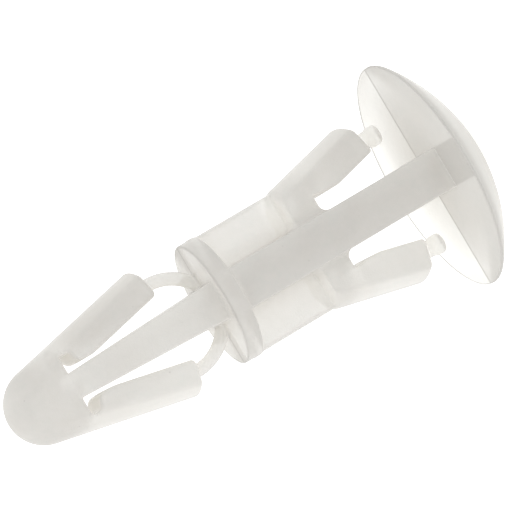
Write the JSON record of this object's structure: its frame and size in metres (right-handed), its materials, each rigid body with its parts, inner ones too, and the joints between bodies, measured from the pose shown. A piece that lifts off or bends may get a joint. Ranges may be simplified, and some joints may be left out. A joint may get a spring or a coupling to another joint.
{
  "type": "snap-in panel anchor",
  "caption": "Push-in nylon panel anchor with a mushroom head, spring barbs, locating pegs and a barrel that carries a second board on its snap tip.",
  "frame": {"origin": "centre of the mushroom head's flat underside, on the axis", "axes": "+Z along the axis from the head to the tip, the way it is pushed in; X across the barbs; Y through the thickness, square to the mould's parting plane"},
  "size_m": [0.0106, 0.0106, 0.023],
  "materials": {
    "natural_nylon": "milky translucent, undyed moulded nylon with a soft gloss"
  },
  "bodies": {
    "core": {"head_dome": "natural_nylon", "panel_shaft": "natural_nylon", "barb_yoke_left": "natural_nylon", "barb_yoke_right": "natural_nylon", "barrel_rib": "natural_nylon", "barrel_web_left": "natural_nylon", "barrel_web_right": "natural_nylon", "board_flange": "natural_nylon", "tip_blade": "natural_nylon", "nose": "natural_nylon"},
    "large_barb_left": {"panel_barb_left": "natural_nylon", "barb_peg_left": "natural_nylon"},
    "large_barb_right": {"panel_barb_right": "natural_nylon", "barb_peg_right": "natural_nylon"},
    "small_barb_left": {"tip_barb_left": "natural_nylon", "tip_strand_left": "natural_nylon"},
    "small_barb_right": {"tip_barb_right": "natural_nylon", "tip_strand_right": "natural_nylon"}
  },
  "joints": [
    {"name": "panel_barb_left_flex", "type": "hinge", "parent": "core", "child": "large_barb_left", "pos_m": [-0.00254, 0, 0.00512], "axis": [0, -1, 0], "range_deg": [0, 17]},
    {"name": "panel_barb_right_flex", "type": "hinge", "parent": "core", "child": "large_barb_right", "pos_m": [0.00254, 0, 0.00512], "axis": [0, 1, 0], "range_deg": [0, 17]},
    {"name": "tip_barb_left_flex", "type": "hinge", "parent": "core", "child": "small_barb_left", "pos_m": [-0.00164, 0, 0.01775], "axis": [0, -1, 0], "range_deg": [0, 9.5], "deforming": ["tip_strand_left"]},
    {"name": "tip_barb_right_flex", "type": "hinge", "parent": "core", "child": "small_barb_right", "pos_m": [0.00164, 0, 0.01775], "axis": [0, 1, 0], "range_deg": [0, 9.5], "deforming": ["tip_strand_right"]}
  ]
}
